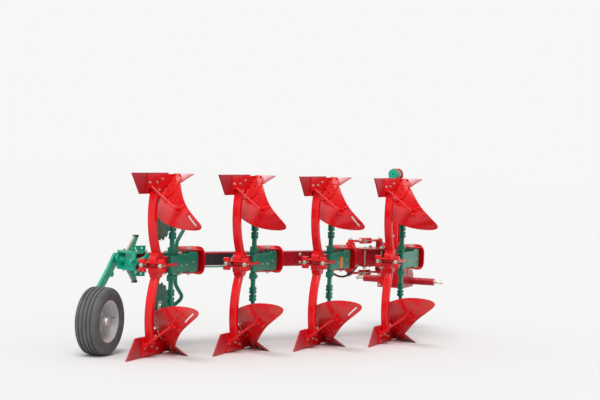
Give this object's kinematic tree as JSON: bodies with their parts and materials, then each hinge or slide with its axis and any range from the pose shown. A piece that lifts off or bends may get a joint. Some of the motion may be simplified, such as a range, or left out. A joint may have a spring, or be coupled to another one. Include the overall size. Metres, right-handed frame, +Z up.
{
  "type": "reversible mounted moldboard plough",
  "caption": "Reversible mounted mouldboard plough: slanted beam with pairs of upper and lower bodies, leaf-spring carriers, depth wheel and three-point headstock that turns over.",
  "frame": {"origin": "middle of the floor plan, on the floor on which the lower shares and the depth wheel stand", "axes": "+X in the direction of travel, +Y to the left, +Z up"},
  "size_m": [4.4229, 2.8192, 1.812],
  "materials": {
    "red_paint": "gloss",
    "board_paint": "gloss",
    "share_paint": "worn",
    "beam_paint": "gloss",
    "green_paint": "gloss",
    "wheel_green": "gloss",
    "spring_steel": "satin",
    "disc_steel": "worn",
    "zinc": "satin",
    "rim_paint": "satin",
    "tyre": "matt",
    "rubber_hose": "satin"
  },
  "bodies": {
    "frame": {"main_beam": "beam_paint", "beam_brackets": "red_paint", "swing_pins": "zinc", "beam_head": "beam_paint", "adjusting_links": "red_paint", "hose": "rubber_hose", "turnover_shaft": "spring_steel", "carrier_1": "green_paint", "carrier_2": "green_paint", "carrier_3": "green_paint", "carrier_4": "green_paint", "springs_1": "spring_steel", "springs_2": "spring_steel", "springs_3": "spring_steel", "springs_4": "spring_steel", "legs_1": "red_paint", "legs_2": "red_paint", "legs_3": "red_paint", "legs_4": "red_paint", "frogs_1": "red_paint", "frogs_2": "red_paint", "frogs_3": "red_paint", "frogs_4": "red_paint", "landsides_1": "share_paint", "landsides_2": "share_paint", "landsides_3": "share_paint", "landsides_4": "share_paint", "shares_1": "share_paint", "shares_2": "share_paint", "shares_3": "share_paint", "shares_4": "share_paint", "mouldboards_1": "board_paint", "mouldboards_2": "board_paint", "mouldboards_3": "board_paint", "mouldboards_4": "board_paint", "skimmers_1": "green_paint", "skimmers_2": "green_paint", "skimmers_3": "green_paint", "skimmers_4": "green_paint", "coulter_arms": "green_paint", "wheel_bracket": "wheel_green"},
    "disc_upper": {"disc_upper": "disc_steel"},
    "disc_lower": {"disc_lower": "disc_steel"},
    "wheel_arm": {"wheel_arm": "wheel_green"},
    "wheel": {"wheel_rim": "rim_paint", "wheel_tyre": "tyre"},
    "headstock": {"headstock": "beam_paint", "headstock_cheeks": "beam_paint", "cross_shaft": "beam_paint"},
    "ram_barrel": {"ram_barrel": "wheel_green"},
    "ram_rod": {"ram_rod": "zinc"}
  },
  "joints": [
    {"name": "turnover", "type": "hinge", "parent": "frame", "child": "headstock", "pos_m": [1.81145, -0.49496, 0.86], "axis": [1, 0, 0], "range_deg": [0, 180]},
    {"name": "ram_swing", "type": "hinge", "parent": "headstock", "child": "ram_barrel", "pos_m": [1.88645, -0.49496, 1.75], "axis": [1, 0, 0], "range_deg": [-12.3, 0.1]},
    {"name": "ram_slide", "type": "slide", "parent": "ram_barrel", "child": "ram_rod", "axis": [0, 0.1061, -0.9944], "range_m": [0, 0.09]},
    {"name": "wheel_swing", "type": "hinge", "parent": "frame", "child": "wheel_arm", "pos_m": [-1.2585, 1.38199, 0.86], "axis": [0, 1, 0], "range_deg": [0, 80.94]},
    {"name": "wheel_spin", "type": "hinge", "parent": "wheel_arm", "child": "wheel", "pos_m": [-1.89145, 1.20499, 0.32], "axis": [0, 1, 0], "continuous": true},
    {"name": "disc_upper_spin", "type": "hinge", "parent": "frame", "child": "disc_upper", "pos_m": [-1.2685, 0.88999, 1.29], "axis": [0, 1, 0], "continuous": true},
    {"name": "disc_lower_spin", "type": "hinge", "parent": "frame", "child": "disc_lower", "pos_m": [-1.2685, 0.88999, 0.43], "axis": [0, 1, 0], "continuous": true}
  ]
}
